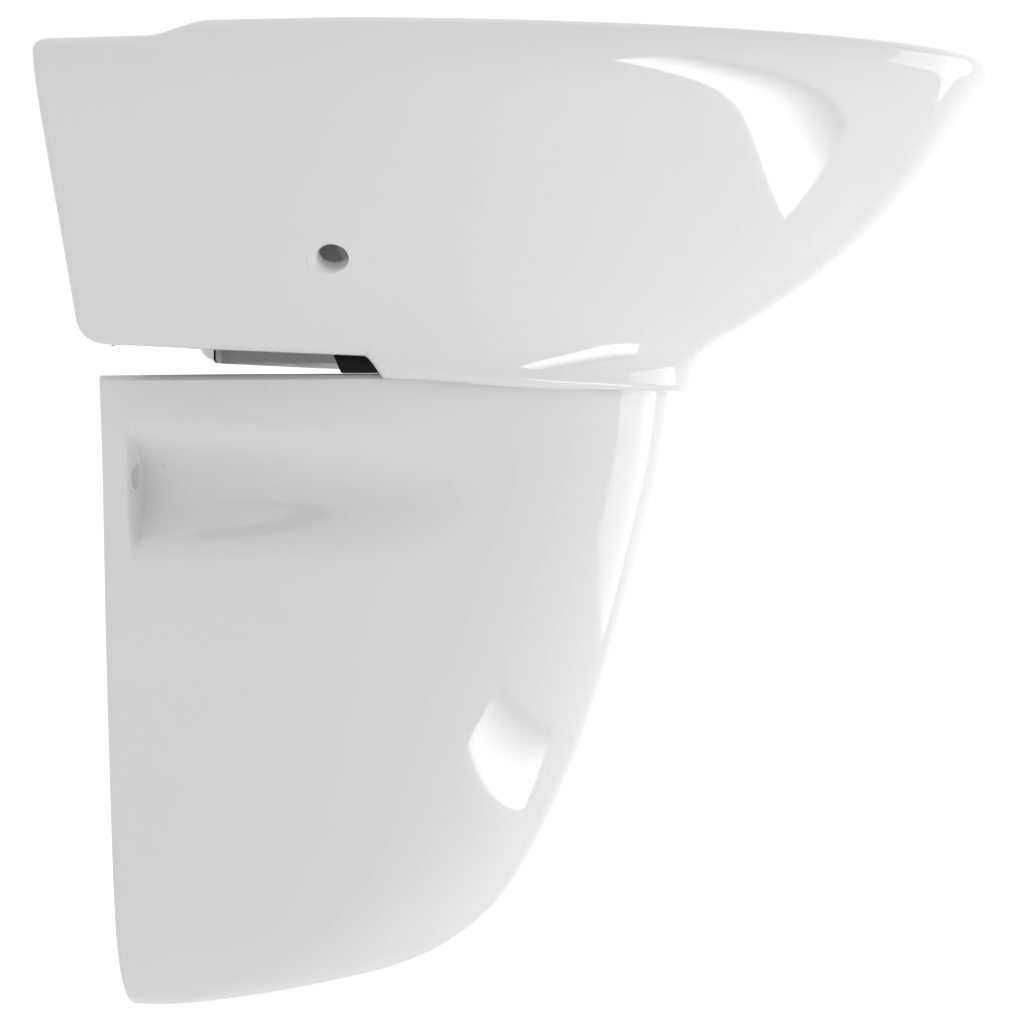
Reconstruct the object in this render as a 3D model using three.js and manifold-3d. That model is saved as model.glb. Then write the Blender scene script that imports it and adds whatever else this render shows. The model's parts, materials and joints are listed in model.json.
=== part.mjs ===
// Wall-hung wash basin with a semi-pedestal, its waste fitting, bottle trap and wall fixings.
// Millimetres, +Z up. The wall is the plane Y = 0 and the basin reaches out along -Y.
// The origin is on the basin's flat back face, midway between the two wall bolts.

import * as THREE from 'three';
import { mergeVertices } from 'three/addons/utils/BufferGeometryUtils.js';
import Module from 'manifold-3d';

const wasm = await Module();
wasm.setup();
const { Manifold, Mesh: SolidMesh } = wasm;

// ---------- driving dimensions ----------

const RIM_Z = 85; // bowl rim above the wall bolts
const GAP = 0.3; // clearance between touching pieces

const BASIN = {
  wallHalf: 250, // half width at the wall
  maxHalf: 260, // half width at the widest
  widestAt: 145, // distance of the widest place from the wall
  reach: 450, // projection from the wall
  lip: 6, // radius of the rim's outer edge
  wall: 11, // thickness of the apron
  back: 12, // thickness of the back plate
  ledgeDrop: 6.5, // tap ledge below the bowl rim
  apronDepth: 150, // apron edge below the rim at the wall
};

const BOWL = {
  centre: 215, // widest place of the bowl, from the wall
  half: 201,
  front: 201, // from the centre forward
  rear: 90, // from the centre back
  depth: 130,
  power: 2.05,
  skin: 12, // thickness of the bowl
};

const COLLAR = {
  half: 130,
  widestAt: 130,
  reach: 293,
  starts: 146, // distance of its two ends from the wall
  depth: 171.5, // its lower lip below the rim
  landDepth: 154, // underside that bears on the pads
  lip: 11.5, // thickness of the lip that hides the pedestal's edge
  land: 26, // whole width, lip and bearing land
  blend: 20, // width of the soft shoulder into the bowl at the front
  sideBlend: 26, // how much wider the shoulder is at the sides
};

const WASTE = { from: 195, hole: 23.5, recess: 33, recessDepth: 129, boss: 36, bossDepth: 146 };
const TAP_HOLE = { from: 62, radius: 17.5 };
const SIDE_HOLE = { from: 134, half: 178, depth: 110.5, radius: 7.5, tilt: 38 };
const OVERFLOW = { depth: 45, radius: 12, wallAt: 129.6, lean: 9 };
const BOLT = { half: 140, radius: 12 };

const PEDESTAL = { wall: 10, floor: 11, foot: 497, fullness: 1.07, widestAt: 0.46, power: 1.9 };

// The finger pockets; "floor" and "fade" are the half widths between their floors at either end,
// and "turn" is how much further from the wall the flange's face is at the floor.
const POCKET = {
  top: 187,
  bottom: 260,
  from: 15,
  to: 186,
  floor: 74,
  fade: 98.5,
  turn: 4,
  wall: 9,
  slope: 40,
};
const BACK_CUTOUT = { half: 121, soft: 9, rise: 27 }; // arch in the back plate for the pipes
const PEDESTAL_SCREW = { radius: 6.3, half: 91, depth: 216 };

// ---------- small helpers ----------

const zAt = (depth) => RIM_Z - depth;
const clamp01 = (v) => Math.min(1, Math.max(0, v));

function smoothstep(lo, hi, v) {
  const k = clamp01((v - lo) / (hi - lo));
  return k * k * (3 - 2 * k);
}

function smoothMax(a, b, width) {
  const h = Math.max(width - Math.abs(a - b), 0) / width;
  return Math.max(a, b) + (h * h * width) / 4;
}

function bisect(f, lo, hi) {
  let a = lo;
  let b = hi;
  for (let i = 0; i < 40; i += 1) {
    const mid = (a + b) / 2;
    if (f(mid) > 0) a = mid;
    else b = mid;
  }
  return (a + b) / 2;
}

function welded(geometry) {
  const plain = geometry.clone();
  plain.deleteAttribute('normal');
  plain.deleteAttribute('uv');
  return mergeVertices(plain, 1e-4);
}

function solid(geometry) {
  const merged = welded(geometry);
  return new Manifold(
    new SolidMesh({
      numProp: 3,
      vertProperties: new Float32Array(merged.attributes.position.array),
      triVerts: new Uint32Array(merged.index.array),
    }),
  );
}

function geometryOf(manifold) {
  const mesh = manifold.getMesh();
  const geometry = new THREE.BufferGeometry();
  geometry.setAttribute('position', new THREE.BufferAttribute(new Float32Array(mesh.vertProperties), 3));
  geometry.setIndex(new THREE.BufferAttribute(new Uint32Array(mesh.triVerts), 1));
  geometry.computeVertexNormals();
  return geometry;
}

function indexedGeometry(points, faces) {
  const geometry = new THREE.BufferGeometry();
  geometry.setAttribute('position', new THREE.Float32BufferAttribute(points.flat(), 3));
  geometry.setIndex(faces.flat());
  return geometry;
}

function lathe(profile, segments = 18) {
  const points = profile.map(([radius, z]) => new THREE.Vector2(radius, z));
  return new THREE.LatheGeometry(points, segments).rotateX(Math.PI / 2);
}

// A ring turned about Z, from its inner and outer radius and its two heights.
function ring(inner, outer, low, high, segments = 18) {
  return lathe([[inner, low], [outer, low], [outer, high], [inner, high], [inner, low]], segments);
}

function rod(radius, low, high, segments = 16) {
  return new THREE.CylinderGeometry(radius, radius, high - low, segments)
    .rotateX(Math.PI / 2)
    .translate(0, 0, (low + high) / 2);
}

// ---------- plan outlines ----------
// A plan outline is a flat back, a rounded corner, a side that swells a little and a curved front.
// "stations" are fixed places round it, so that outlines at different depths join point to point.

const FRONT_ANGLES = [8, 16, 22, 25.8, 27.2, 28.6, 31, 37, 45, 53, 62, 71, 80];

function halfStations() {
  const stations = [];
  for (const u of [0.4, 0.76, 0.84, 1]) stations.push({ kind: 'back', u });
  for (const u of [0.5, 1]) stations.push({ kind: 'corner', u });
  for (const u of [0.25, 0.5, 0.75, 1]) stations.push({ kind: 'side', u });
  for (const degrees of FRONT_ANGLES) stations.push({ kind: 'front', u: (degrees * Math.PI) / 180 });
  return stations;
}

function outlinePoint(o, station) {
  const r = o.corner ?? 5;
  if (station.kind === 'back') return [(o.wallHalf - r) * station.u, o.back];
  if (station.kind === 'corner') {
    const a = (station.u * Math.PI) / 2;
    return [o.wallHalf - r + r * Math.sin(a), o.back + r - r * Math.cos(a)];
  }
  if (station.kind === 'side') {
    const from = o.back + (o.corner === 0 ? 0 : r);
    const swell = Math.sin((station.u * Math.PI) / 2);
    return [o.wallHalf + (o.maxHalf - o.wallHalf) * swell, from + (o.widestAt - from) * station.u];
  }
  const s = Math.sin(station.u) ** (2 / o.power);
  return [o.maxHalf * Math.cos(station.u), o.widestAt + (o.reach - o.widestAt) * s];
}

// ---------- basin ----------

const bodyWidthDrop = (d) => 0.7513 * 6 * Math.log(1 + Math.exp((d - 19.8) / 6));
const bodyReachDrop = (d) => (d < 10 ? 0 : 0.66 * (d - 10) + 1.3e-5 * (d - 10) ** 3.1);

function bodyOutline(d, inset, backInset) {
  const wallHalf = BASIN.wallHalf - bodyWidthDrop(d);
  const swell = (BASIN.maxHalf - BASIN.wallHalf) * Math.max(0, 1 - d / 155);
  return {
    wallHalf: wallHalf - inset,
    maxHalf: wallHalf + swell - inset,
    widestAt: BASIN.widestAt - (85 * d) / 155,
    reach: BASIN.reach - bodyReachDrop(d) - inset,
    back: backInset,
    power: 1.5,
  };
}

// Distance from the waste axis to the collar's outline, along a direction in plan.
function collarRadius(dx, dy, inset) {
  const outside = (r) => {
    const x = Math.abs(dx * r);
    const y = WASTE.from + dy * r;
    const half = COLLAR.half - inset;
    if (y <= COLLAR.widestAt) return x - half;
    const k = (y - COLLAR.widestAt) / (COLLAR.reach - inset - COLLAR.widestAt);
    return (x / half) ** 2 + k ** 1.9 - 1;
  };
  return bisect((r) => -outside(r), 0, 400);
}

// Distance from the waste axis to the bowl's edge, along a direction in plan.
function bowlRadius(dx, dy) {
  const inside = (r) => {
    const x = Math.abs(dx * r) / BOWL.half;
    const y = WASTE.from + dy * r - BOWL.centre;
    if (y > 0) return 1 - (x ** 2 + (y / BOWL.front) ** 1.45);
    return 1 - (x ** 2.5 + (-y / BOWL.rear) ** 2.5);
  };
  return bisect(inside, 0, 400);
}

// The bowl's sections turn from the bowl's own outline into a circle round the waste.
function bowlSection(edge, rho) {
  const round = 1 - smoothstep(0.3, 0.8, rho);
  return rho * ((1 - round) * edge + round * 80);
}

const bowlDepth = (depth, rho) => depth * Math.max(0, 1 - rho ** BOWL.power) ** (1 / BOWL.power);

// Height of the deck: the tap ledge at the back, and a soft step up to the bowl rim.
function deckDrop(x, y) {
  const step = 100 - 29 * (x / BASIN.wallHalf) ** 2;
  return BASIN.ledgeDrop * (1 - smoothstep(step - 13, step + 13, y));
}

function bottomDepth(x, y) {
  const apron = BASIN.apronDepth + (6 * Math.min(y, COLLAR.starts)) / COLLAR.starts;
  const collar = COLLAR.depth - 4.5 * (1 - smoothstep(150, 240, y));
  const { half, soft, rise } = BACK_CUTOUT;
  const arch = y < 1 ? rise * (1 - smoothstep(half - soft, half + soft, x)) : 0;
  return apron - arch + (collar - apron) * smoothstep(COLLAR.starts - 4, COLLAR.starts + 4, y);
}

function outerPoint(station, d, inset, backInset) {
  const level = Math.min(d, BASIN.apronDepth);
  const [x, y] = outlinePoint(bodyOutline(level, inset, backInset), station);
  if (station.kind !== 'front' || d < 60) return [x, y];
  const length = Math.hypot(x, y - WASTE.from);
  const dx = x / length;
  const dy = (y - WASTE.from) / length;
  const r = length - 1.5 * (d - level);
  const width = COLLAR.blend + COLLAR.sideBlend * dx * dx;
  const blended = smoothMax(r, collarRadius(dx, dy, inset), width);
  const here = r + (blended - r) * smoothstep(60, 90, d);
  return [dx * here, WASTE.from + dy * here];
}

// One closed section of the basin, from the waste hole up the bowl, over the rim,
// down the outside, round the lower edge and back under the bowl.
function basinSection(station) {
  const section = [];
  const put = (x, y, d) => section.push([x, -y, zAt(d)]);
  const rim = outlinePoint(bodyOutline(BASIN.lip, 0, 0), station);
  const length = Math.hypot(rim[0], rim[1] - WASTE.from);
  const dx = rim[0] / length;
  const dy = (rim[1] - WASTE.from) / length;
  const edge = bowlRadius(dx, dy);
  const along = (r, d) => put(dx * r, WASTE.from + dy * r, d);

  const rhoWaste = WASTE.hole / 80;
  for (const k of [0, 0.14, 0.3, 0.46, 0.61, 0.74, 0.85, 0.93, 0.98]) {
    const rho = rhoWaste + (1 - rhoWaste) * Math.sin((k * Math.PI) / 2);
    along(bowlSection(edge, rho), bowlDepth(BOWL.depth, rho));
  }

  const inner = edge + 3;
  const outer = length - BASIN.lip;
  for (const k of [0, 0.22, 0.45, 0.72, 1]) {
    const r = inner + (outer - inner) * k;
    const x = dx * r;
    const y = WASTE.from + dy * r;
    put(x, y, deckDrop(x, y) + (k === 0 ? 2.5 : 0));
  }

  const [lipX, lipY] = outlinePoint(bodyOutline(BASIN.lip, 0, 0), station);
  const lipDrop = deckDrop(lipX, lipY);
  const foot = outerPoint(station, BASIN.apronDepth, 0, 0);
  const lowest = bottomDepth(foot[0], foot[1]);
  const heel = 12;
  const backInset = (d) => {
    const over = Math.max(0, d - (lowest - heel));
    return heel - Math.sqrt(Math.max(0, heel * heel - over * over));
  };
  const skin = (d, inset) => {
    const [x, y] = outerPoint(station, d, inset, Math.max(inset, backInset(d)));
    put(x, y, d);
  };
  skin(lipDrop + 1.8, 1.8);
  const round = 4.5;
  const sideTop = lipDrop + 6;
  const sideLow = lowest - round;
  const share = (d) => sideTop + ((sideLow - sideTop) * (d - 6)) / 145.5;
  for (const d of [6, 18, 32, 48, 64, 80, 96, 110, 122, 132, 141, 151.5]) skin(share(d), 0);
  skin(lowest - round * 0.3, round * 0.3);
  skin(lowest, round);

  const inCollar = smoothstep(COLLAR.starts - 4, COLLAR.starts + 4, foot[1]);
  const innerWall = (d) => {
    const level = Math.min(d, BASIN.apronDepth);
    const [x, y] = outlinePoint(bodyOutline(level, BASIN.wall, BASIN.back), station);
    const r = Math.hypot(x, y - WASTE.from);
    const ux = x / r;
    const uy = (y - WASTE.from) / r;
    if (station.kind !== 'front') return { r, ux, uy };
    const apron = Math.min(r, collarRadius(ux, uy, 0) + (COLLAR.depth - d) * 2);
    const land = Math.min(r, collarRadius(ux, uy, COLLAR.land));
    return { r: apron + (land - apron) * inCollar, ux, uy };
  };
  const ceiling = (r, ux, uy) => {
    const under = bowlRadius(ux, uy) + BOWL.skin;
    const rho = bisect((k) => r - bowlSection(under, k), 0, 1.6);
    return Math.max(bowlDepth(BOWL.depth + BOWL.skin, rho), BASIN.ledgeDrop + 13);
  };
  const roof = (d) => {
    const { r, ux, uy } = innerWall(d);
    return ceiling(r, ux, uy) - d;
  };
  let below = lowest;
  while (below > 8 && roof(below - 3) < 0) below -= 3;
  const meets = bisect(roof, below - 3, below);
  for (const k of [0, 0.35, 0.7, 1]) {
    const d = lowest + (meets - lowest) * k;
    const { r, ux, uy } = innerWall(d);
    put(ux * r, WASTE.from + uy * r, d);
  }

  const top = innerWall(meets);
  const under = bowlRadius(top.ux, top.uy) + BOWL.skin;
  const shelf = Math.min(top.r - 1, under);
  const rhoShelf = Math.min(1, bisect((k) => shelf - bowlSection(under, k), 0, 1.6));
  for (const k of [0.05, 0.12, 0.22, 0.36, 0.52, 0.68, 0.84, 1]) {
    const rho = rhoWaste + (rhoShelf - rhoWaste) * Math.cos((k * Math.PI) / 2);
    const r = bowlSection(under, rho);
    const d = Math.max(bowlDepth(BOWL.depth + BOWL.skin, rho), BASIN.ledgeDrop + 13);
    put(top.ux * r, WASTE.from + top.uy * r, d);
  }
  return section;
}

function mirrored(section) {
  return section.map(([x, y, z]) => [-x, y, z]);
}

function basinShell() {
  const half = halfStations().map(basinSection);
  const rear = basinSection({ kind: 'back', u: 0 });
  const front = basinSection({ kind: 'front', u: Math.PI / 2 });
  const sections = [rear, ...half, front, ...half.slice().reverse().map(mirrored)];
  const count = sections[0].length;
  const faces = [];
  for (let i = 0; i < sections.length; i += 1) {
    const next = (i + 1) % sections.length;
    for (let j = 0; j < count; j += 1) {
      const up = (j + 1) % count;
      faces.push([i * count + j, next * count + j, next * count + up]);
      faces.push([i * count + j, next * count + up, i * count + up]);
    }
  }
  return indexedGeometry(sections.flat(), faces);
}

// The overflow passage: a flat duct behind the bowl from the overflow hole to the waste hole.
function overflowDuct(half, width, start, end) {
  const path = new THREE.CatmullRomCurve3([
    new THREE.Vector3(109, 45 - start, 0),
    new THREE.Vector3(112, 80, 0),
    new THREE.Vector3(124, 107, 0),
    new THREE.Vector3(146, 129, 0),
    new THREE.Vector3(170 + end, 138, 0),
  ]);
  const near = [];
  const far = [];
  for (let i = 0; i <= 12; i += 1) {
    const p = path.getPoint(i / 12);
    const t = path.getTangent(i / 12);
    near.push(new THREE.Vector2(p.x + t.y * half, p.y - t.x * half));
    far.unshift(new THREE.Vector2(p.x - t.y * half, p.y + t.x * half));
  }
  const shape = new THREE.Shape([...near, ...far]);
  const geometry = new THREE.ExtrudeGeometry(shape, { depth: width, bevelEnabled: false });
  const place = new THREE.Matrix4().set(0, 0, 1, -width / 2, -1, 0, 0, 0, 0, -1, 0, RIM_Z, 0, 0, 0, 1);
  return geometry.applyMatrix4(place);
}

// What the collar's inside face encloses: the pedestal's top edge stands in it.
function collarRebate() {
  const shape = new THREE.Shape();
  const outline = { wallHalf: 118.5, maxHalf: COLLAR.half - COLLAR.lip, widestAt: COLLAR.widestAt };
  const front = { ...outline, reach: 285.4, back: 120, power: 1.9, corner: 0 };
  const half = [];
  for (let i = 0; i <= 16; i += 1) half.push(outlinePoint(front, { kind: 'front', u: (i * Math.PI) / 32 }));
  shape.moveTo(front.wallHalf, 120);
  for (const [x, y] of half) shape.lineTo(x, y);
  for (const [x, y] of half.slice(0, -1).reverse()) shape.lineTo(-x, y);
  shape.lineTo(-front.wallHalf, 120);
  const depth = 40;
  const geometry = new THREE.ExtrudeGeometry(shape, { depth, bevelEnabled: false });
  return geometry.scale(1, -1, 1).translate(0, 0, zAt(COLLAR.landDepth) - depth);
}

function alongY(geometry) {
  return geometry.rotateX(Math.PI / 2);
}

function flipped(geometry) {
  const index = geometry.index;
  for (let i = 0; i < index.count; i += 3) {
    const keep = index.getX(i + 1);
    index.setX(i + 1, index.getX(i + 2));
    index.setX(i + 2, keep);
  }
  return geometry;
}

function basinGeometry() {
  const wasteY = -WASTE.from;
  const boss = rod(WASTE.boss, zAt(WASTE.bossDepth), zAt(135), 24).translate(0, wasteY, 0);
  let body = solid(basinShell());
  body = body.add(solid(boss)).add(solid(overflowDuct(7.6, 50, 6, -4)));
  const well = rod(WASTE.recess, zAt(WASTE.recessDepth), zAt(100), 24).translate(0, wasteY, 0);
  const bore = rod(WASTE.hole, zAt(160), zAt(100), 24).translate(0, wasteY, 0);
  const tap = rod(TAP_HOLE.radius, zAt(60), zAt(-20), 24).translate(0, -TAP_HOLE.from, 0);
  const overflow = alongY(rod(OVERFLOW.radius, 0, 40)).translate(0, -108, zAt(OVERFLOW.depth));
  for (const cutter of [well, bore, tap, overflow, overflowDuct(4, 34, -4, 6)]) {
    body = body.subtract(solid(cutter));
  }
  body = body.subtract(solid(flipped(welded(collarRebate()))));
  for (const side of [-1, 1]) {
    const bolt = alongY(rod(BOLT.radius, -1, 30)).translate(side * BOLT.half, 0, 0);
    const tilt = (side * SIDE_HOLE.tilt * Math.PI) / 180;
    const hole = rod(SIDE_HOLE.radius, -30, 12)
      .rotateY((side * Math.PI) / 2 + tilt)
      .translate(side * SIDE_HOLE.half, -SIDE_HOLE.from, zAt(SIDE_HOLE.depth));
    body = body.subtract(solid(bolt)).subtract(solid(hole));
  }
  return geometryOf(body);
}

// ---------- semi-pedestal ----------

// Rows run down the pedestal: depth below the rim, reach from the wall, half width at the wall.
const PEDESTAL_ROWS = [
  [164, 283, 109],
  [206, 277, 102.5],
  [256, 265.5, 98],
  [307, 251.5, 93.5],
  [359, 233.5, 87],
  [411, 209, 80],
  [440, 190, 74.5],
  [459, 168, 69],
  [472, 143, 62],
  [484, 98, 51],
  [493, 44, 33],
  [PEDESTAL.foot, 0, 0],
];

const pedestalCurve = new THREE.CatmullRomCurve3(
  PEDESTAL_ROWS.map(([d, reach, half]) => new THREE.Vector3(d, reach, half)),
);

function pedestalOutline(k, inset) {
  const row = pedestalCurve.getPoint(k);
  const reach = Math.max(row.y - inset, 0);
  const wallHalf = Math.max(row.z - inset, 0);
  return {
    depth: row.x,
    wallHalf,
    maxHalf: wallHalf * PEDESTAL.fullness,
    widestAt: reach * PEDESTAL.widestAt,
    reach,
    back: 0,
    power: PEDESTAL.power,
    corner: 0,
  };
}

function pedestalStations() {
  const half = [];
  for (const u of [0, 0.25, 0.5, 0.75, 1]) half.push({ kind: 'side', u });
  for (let i = 1; i < 9; i += 1) half.push({ kind: 'front', u: (i * Math.PI) / 18 });
  return half;
}

function pedestalSheet(inset, lift) {
  const half = pedestalStations();
  const front = { kind: 'front', u: Math.PI / 2 };
  const rows = [];
  for (const k of [0, 0.06, 0.14, 0.23, 0.32, 0.41, 0.5, 0.57, 0.64, 0.7, 0.76, 0.82, 0.88, 0.93]) {
    const outline = pedestalOutline(k, inset * (1 - 0.9 * smoothstep(0.8, 1, k)));
    const z = zAt(outline.depth - lift * smoothstep(0, 0.6, k));
    const right = half.map((station) => outlinePoint(outline, station));
    const tip = outlinePoint(outline, front);
    const left = right.slice().reverse().map(([x, y]) => [-x, y]);
    rows.push([...right, tip, ...left].map(([x, y]) => [x, -y, z]));
  }
  return rows;
}

// What lies between two insets from the pedestal's outside.
function pedestalShell(outerInset, innerInset) {
  const lift = (inset) => PEDESTAL.floor * Math.min(1, inset / PEDESTAL.wall);
  const outer = pedestalSheet(outerInset, lift(outerInset));
  const inner = pedestalSheet(innerInset, lift(innerInset));
  const count = outer[0].length;
  const levels = outer.length;
  const poles = [outerInset, innerInset].map((inset) => [0, 0, zAt(PEDESTAL.foot - lift(inset))]);
  const points = [...outer.flat(), ...inner.flat(), ...poles];
  const out = (j, i) => j * count + i;
  const inn = (j, i) => (levels + j) * count + i;
  const outPole = 2 * levels * count;
  const inPole = outPole + 1;
  const faces = [];
  const quad = (a, b, c, d) => faces.push([a, b, c], [a, c, d]);
  for (let i = 0; i < count - 1; i += 1) {
    for (let j = 0; j < levels - 1; j += 1) {
      quad(out(j, i + 1), out(j + 1, i + 1), out(j + 1, i), out(j, i));
      quad(inn(j + 1, i), inn(j + 1, i + 1), inn(j, i + 1), inn(j, i));
    }
    quad(inn(0, i), inn(0, i + 1), out(0, i + 1), out(0, i));
    faces.push([out(levels - 1, i + 1), outPole, out(levels - 1, i)]);
    faces.push([inPole, inn(levels - 1, i + 1), inn(levels - 1, i)]);
  }
  for (let j = 0; j < levels - 1; j += 1) {
    quad(out(j + 1, 0), inn(j + 1, 0), inn(j, 0), out(j, 0));
    quad(inn(j, count - 1), inn(j + 1, count - 1), out(j + 1, count - 1), out(j, count - 1));
  }
  quad(outPole, inPole, inn(levels - 1, 0), out(levels - 1, 0));
  quad(inn(levels - 1, count - 1), inPole, outPole, out(levels - 1, count - 1));
  return indexedGeometry(points, faces);
}

// The finger pocket in each flank: deep at the wall end, running out to nothing forward, with
// sloping walls above and below. Grown by the wall thickness, the same shape makes the bulge
// that closes it on the inside.
function pocketWedge(side, grow) {
  const top = POCKET.top - grow;
  const bottom = POCKET.bottom + grow;
  const back = grow > 0 ? 0 : POCKET.from;
  const end = POCKET.to + grow;
  const floor = POCKET.floor - grow;
  const beyond = 140;
  const splay = new THREE.Shape();
  splay.moveTo(floor, zAt(top + POCKET.slope * 0.45));
  splay.lineTo(floor, zAt(bottom - POCKET.slope * 0.45));
  splay.lineTo(beyond, zAt(bottom + POCKET.slope * 0.55));
  splay.lineTo(beyond, zAt(top - POCKET.slope * 0.55));
  const slab = new THREE.ExtrudeGeometry(splay, { depth: 220, bevelEnabled: false });
  slab.rotateX(Math.PI / 2).translate(0, 5, 0);
  const plan = new THREE.Shape();
  plan.moveTo(beyond, -back);
  plan.lineTo(floor, -(back + (grow > 0 ? 0 : POCKET.turn)));
  plan.lineTo(floor + 4, -(back + 40));
  plan.lineTo(POCKET.fade - grow, -end);
  plan.lineTo(beyond, -end);
  const wedge = new THREE.ExtrudeGeometry(plan, { depth: 160, bevelEnabled: false });
  wedge.translate(0, 0, zAt(POCKET.bottom + 40));
  const shape = solid(slab).intersect(solid(wedge));
  return side > 0 ? shape : shape.mirror([1, 0, 0]);
}

function pedestalGeometry() {
  let body = solid(pedestalShell(0, PEDESTAL.wall));
  const within = solid(pedestalShell(PEDESTAL.wall / 2, 48));
  for (const side of [-1, 1]) {
    body = body.add(pocketWedge(side, POCKET.wall).intersect(within));
    body = body.subtract(pocketWedge(side, 0));
    const hole = alongY(rod(PEDESTAL_SCREW.radius, -1, 30));
    hole.translate(side * PEDESTAL_SCREW.half, 0, zAt(PEDESTAL_SCREW.depth));
    body = body.subtract(solid(hole));
  }
  return geometryOf(body);
}

// ---------- rubber buffers between pedestal and basin ----------

const PAD = { back: 123, front: 165, low: 163.7, high: 154.3, slant: 4 };

function padGeometry() {
  const outline = pedestalOutline(0, 0.8);
  const inner = pedestalOutline(0, PEDESTAL.wall - 0.8);
  const edge = (o, y) => {
    const k = (y - o.widestAt) / (o.reach - o.widestAt);
    return k < 0 ? o.maxHalf - 0.2 : o.maxHalf * Math.sqrt(1 - k ** o.power);
  };
  const steps = 6;
  const points = [];
  for (let i = 0; i <= steps; i += 1) {
    const low = PAD.back + PAD.slant + ((PAD.front - PAD.back - PAD.slant) * i) / steps;
    const high = PAD.back + ((PAD.front - PAD.back) * i) / steps;
    points.push([edge(inner, low), -low, zAt(PAD.low)], [edge(outline, low), -low, zAt(PAD.low)]);
    points.push([edge(outline, high), -high, zAt(PAD.high)], [edge(inner, high), -high, zAt(PAD.high)]);
  }
  const faces = [[0, 2, 1], [0, 3, 2]];
  for (let i = 0; i < steps; i += 1) {
    for (let j = 0; j < 4; j += 1) {
      const a = 4 * i + j;
      const b = 4 * i + ((j + 1) % 4);
      faces.push([a, b + 4, a + 4], [a, b, b + 4]);
    }
  }
  const last = 4 * steps;
  faces.push([last, last + 1, last + 2], [last, last + 2, last + 3]);
  return indexedGeometry(points, faces);
}

// ---------- pop-up waste ----------
// Everything here is turned about the waste axis, so heights are the only places it needs.

const FLANGE_TOP = zAt(124);
const TUBE_RADIUS = 20.9;
const TUBE_BORE = 17.6;
const TUBE_END = zAt(206);

function wasteSealGeometry() {
  return ring(24.2, 31, zAt(WASTE.recessDepth) + GAP, zAt(WASTE.recessDepth) + 1.9);
}

function wasteBodyGeometry() {
  const low = zAt(WASTE.recessDepth) + 2.2;
  let body = solid(
    lathe([
      [TUBE_BORE, TUBE_END],
      [TUBE_RADIUS, TUBE_END],
      [TUBE_RADIUS, low],
      [31.6, low],
      [32, low + 1],
      [31, FLANGE_TOP],
      [24.5, FLANGE_TOP],
      [TUBE_BORE, FLANGE_TOP - 6],
      [TUBE_BORE, TUBE_END],
    ]),
  );
  const bridge = new THREE.BoxGeometry(2 * TUBE_BORE + 2, 7, 4).translate(0, 0, zAt(166));
  const eye = rod(8, zAt(168), zAt(164));
  const thread = rod(3.3, zAt(175), zAt(160));
  body = body.add(solid(bridge).add(solid(eye))).subtract(solid(thread));
  for (const side of [-1, 1]) {
    const port = new THREE.BoxGeometry(22, 8, 9).translate(0, side * TUBE_RADIUS, zAt(139.5));
    body = body.subtract(solid(port));
  }
  return geometryOf(body);
}

function coneSealGeometry() {
  const high = zAt(WASTE.bossDepth) - GAP;
  const inner = TUBE_RADIUS + GAP;
  return lathe([[inner, high - 6], [32, high - 6], [34, high], [inner, high], [inner, high - 6]]);
}

function slipWasherGeometry() {
  const high = zAt(WASTE.bossDepth) - 2 * GAP - 6;
  return ring(TUBE_RADIUS + GAP, 33, high - 1.6, high);
}

function hexNutGeometry(flats, bore, low, high) {
  const prism = new THREE.CylinderGeometry(flats / Math.sqrt(3), flats / Math.sqrt(3), high - low, 6);
  prism.rotateX(Math.PI / 2).translate(0, 0, (low + high) / 2);
  return geometryOf(solid(prism).subtract(solid(rod(bore, low - 1, high + 1, 18))));
}

function backNutGeometry() {
  const high = zAt(WASTE.bossDepth) - 3 * GAP - 7.6;
  return hexNutGeometry(58, TUBE_RADIUS + GAP, high - 9, high);
}

function cartridgeGeometry() {
  const profile = [
    [0, zAt(174)], [3, zAt(174)], [3, zAt(163.7)], [6.5, zAt(163.7)], [6.5, zAt(140)],
    [3.4, zAt(140)], [3.4, zAt(158)], [0, zAt(158)],
  ];
  return lathe(profile);
}

function plugStemGeometry() {
  const profile = [[0, zAt(157)], [3, zAt(157)], [3, zAt(124.3)], [0, zAt(124.3)]];
  return lathe(profile);
}

function plugCapGeometry() {
  const low = FLANGE_TOP + 0.5;
  const profile = [
    [0, FLANGE_TOP], [12, FLANGE_TOP], [12.5, low], [31.2, low], [32, low + 0.8],
    [31.5, low + 2.2], [27, low + 3.4], [16, low + 4.4], [0, low + 5],
  ];
  return lathe(profile, 24);
}

function plugSealGeometry() {
  const high = FLANGE_TOP + 0.2;
  return lathe([[12.8, high - 2.6], [20, high - 2.6], [22, high], [12.8, high], [12.8, high - 2.6]]);
}

function overflowRingGeometry() {
  const profile = [[8, -8], [10.2, -8], [10.2, 0.6], [14.5, 0.6], [14, 2.2], [9.5, 2.2], [8, 1], [8, -8]];
  return alongY(lathe(profile)).rotateX((-OVERFLOW.lean * Math.PI) / 180);
}

// ---------- bottle trap ----------

const PIPE = 16; // radius of the trap's pipes
const PIPE_BORE = 14.2;
const OUTLET_Z = zAt(277);

function inletNutGeometry() {
  const profile = [
    [17, zAt(212)], [26, zAt(212)], [26.5, zAt(210)], [26.5, zAt(195)], [25.5, zAt(193)],
    [TUBE_RADIUS + GAP, zAt(193)], [TUBE_RADIUS + GAP, zAt(209)], [17, zAt(209)], [17, zAt(212)],
  ];
  return lathe(profile);
}

function inletWasherGeometry() {
  return ring(17.6, 20.8, TUBE_END - 1.0, TUBE_END - GAP);
}

function inletPipeGeometry() {
  const flange = zAt(208.7);
  const profile = [
    [PIPE_BORE, zAt(308)], [PIPE, zAt(308)], [PIPE, flange], [20.6, flange],
    [20.6, flange + 1.2], [PIPE_BORE, flange + 1.2], [PIPE_BORE, zAt(308)],
  ];
  return lathe(profile);
}

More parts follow.
